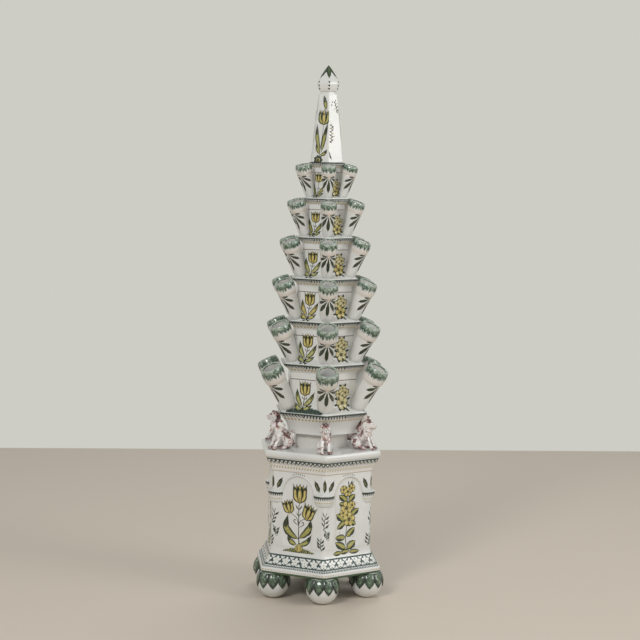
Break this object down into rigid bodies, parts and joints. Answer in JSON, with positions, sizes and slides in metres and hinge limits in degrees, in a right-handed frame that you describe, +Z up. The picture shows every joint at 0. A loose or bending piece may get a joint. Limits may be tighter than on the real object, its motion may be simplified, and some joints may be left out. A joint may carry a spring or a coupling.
{
  "type": "tulipiere",
  "caption": "Six-sided flower pyramid in painted tin-glazed earthenware: ball feet, arched pedestal, lion gallery, stacked spouted reservoirs and an obelisk with a bud.",
  "frame": {"origin": "on the floor, on the centre line of the six-sided plan", "axes": "+Z up the centre line, -Y through the front corner, +X to the right as seen from the front"},
  "size_m": [0.2438, 0.2708, 1],
  "materials": {
    "white_tin_glaze": "glossy milky white glaze with painted flowers and borders",
    "leaf_green_glaze": "glossy mottled blue-green and dark green",
    "sponged_glaze": "glossy white glaze, sponged blue-green around the mouth",
    "manganese_glaze": "glossy white glaze brushed with manganese purple"
  },
  "bodies": {
    "pedestal": {"ball_foot_1": "white_tin_glaze", "ball_foot_2": "white_tin_glaze", "ball_foot_3": "white_tin_glaze", "ball_foot_4": "white_tin_glaze", "ball_foot_5": "white_tin_glaze", "ball_foot_6": "white_tin_glaze", "leaf_cap_1": "leaf_green_glaze", "leaf_cap_2": "leaf_green_glaze", "leaf_cap_3": "leaf_green_glaze", "leaf_cap_4": "leaf_green_glaze", "leaf_cap_5": "leaf_green_glaze", "leaf_cap_6": "leaf_green_glaze", "corner_column_1": "white_tin_glaze", "corner_column_2": "white_tin_glaze", "corner_column_3": "white_tin_glaze", "corner_column_4": "white_tin_glaze", "corner_column_5": "white_tin_glaze", "corner_column_6": "white_tin_glaze", "wall_panel_1": "white_tin_glaze", "wall_panel_2": "white_tin_glaze", "wall_panel_3": "white_tin_glaze", "wall_panel_4": "white_tin_glaze", "wall_panel_5": "white_tin_glaze", "wall_panel_6": "white_tin_glaze", "arch_moulding_1": "white_tin_glaze", "arch_moulding_2": "white_tin_glaze", "arch_moulding_3": "white_tin_glaze", "arch_moulding_4": "white_tin_glaze", "arch_moulding_5": "white_tin_glaze", "arch_moulding_6": "white_tin_glaze", "plinth": "white_tin_glaze", "cornice": "white_tin_glaze"},
    "gallery": {"gallery_slab": "white_tin_glaze", "gallery_stem": "white_tin_glaze", "gallery_cup": "white_tin_glaze", "lion_1": "manganese_glaze", "lion_2": "manganese_glaze", "lion_3": "manganese_glaze", "lion_4": "manganese_glaze", "lion_5": "manganese_glaze", "lion_6": "manganese_glaze"},
    "tier_1": {"tier_1_reservoir": "white_tin_glaze", "tier_1_spouts": "sponged_glaze"},
    "tier_2": {"tier_2_reservoir": "white_tin_glaze", "tier_2_spouts": "sponged_glaze"},
    "tier_3": {"tier_3_reservoir": "white_tin_glaze", "tier_3_spouts": "sponged_glaze"},
    "tier_4": {"tier_4_reservoir": "white_tin_glaze", "tier_4_spouts": "sponged_glaze"},
    "tier_5": {"tier_5_reservoir": "white_tin_glaze", "tier_5_spouts": "sponged_glaze"},
    "tier_6": {"tier_6_reservoir": "white_tin_glaze", "tier_6_spouts": "sponged_glaze"},
    "top": {"obelisk": "white_tin_glaze", "bud_finial": "leaf_green_glaze"}
  },
  "joints": [
    {"name": "gallery_lift", "type": "slide", "parent": "pedestal", "child": "gallery", "axis": [0, 0, 1], "range_m": [0, 0.06]},
    {"name": "tier_1_lift", "type": "slide", "parent": "gallery", "child": "tier_1", "axis": [0, 0, 1], "range_m": [0, 0.06]},
    {"name": "tier_2_lift", "type": "slide", "parent": "tier_1", "child": "tier_2", "axis": [0, 0, 1], "range_m": [0, 0.06]},
    {"name": "tier_3_lift", "type": "slide", "parent": "tier_2", "child": "tier_3", "axis": [0, 0, 1], "range_m": [0, 0.06]},
    {"name": "tier_4_lift", "type": "slide", "parent": "tier_3", "child": "tier_4", "axis": [0, 0, 1], "range_m": [0, 0.06]},
    {"name": "tier_5_lift", "type": "slide", "parent": "tier_4", "child": "tier_5", "axis": [0, 0, 1], "range_m": [0, 0.06]},
    {"name": "tier_6_lift", "type": "slide", "parent": "tier_5", "child": "tier_6", "axis": [0, 0, 1], "range_m": [0, 0.06]},
    {"name": "top_lift", "type": "slide", "parent": "tier_6", "child": "top", "axis": [0, 0, 1], "range_m": [0, 0.06]}
  ]
}
